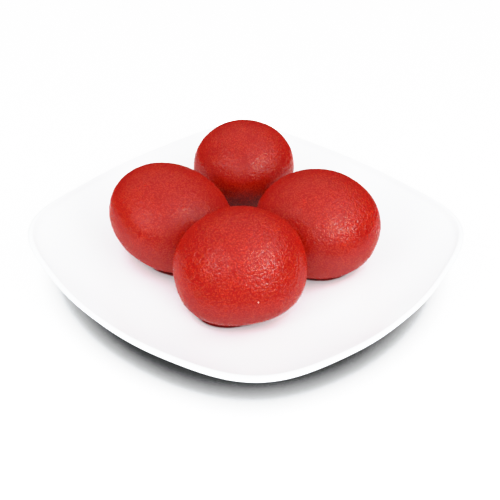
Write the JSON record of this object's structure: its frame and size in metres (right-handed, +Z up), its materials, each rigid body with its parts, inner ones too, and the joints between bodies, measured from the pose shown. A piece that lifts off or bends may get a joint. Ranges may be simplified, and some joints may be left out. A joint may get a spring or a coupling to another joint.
{
  "type": "plate of gulab jamun",
  "caption": "Soft red syrup-soaked milk-dough balls lying together on a shallow white rounded-square coupe plate.",
  "frame": {"origin": "centre of the plate's foot, on the surface that the plate stands on", "axes": "+Z up; the plate's corners point along X and Y; the front ball is at -Y"},
  "size_m": [0.1614, 0.1614, 0.0467],
  "materials": {
    "porcelain": "white glazed porcelain, smooth and glossy",
    "soaked_dough": null
  },
  "bodies": {
    "root": {"plate": "porcelain", "jamun_front": "soaked_dough", "jamun_left": "soaked_dough", "jamun_right": "soaked_dough", "jamun_back": "soaked_dough"}
  },
  "joints": []
}
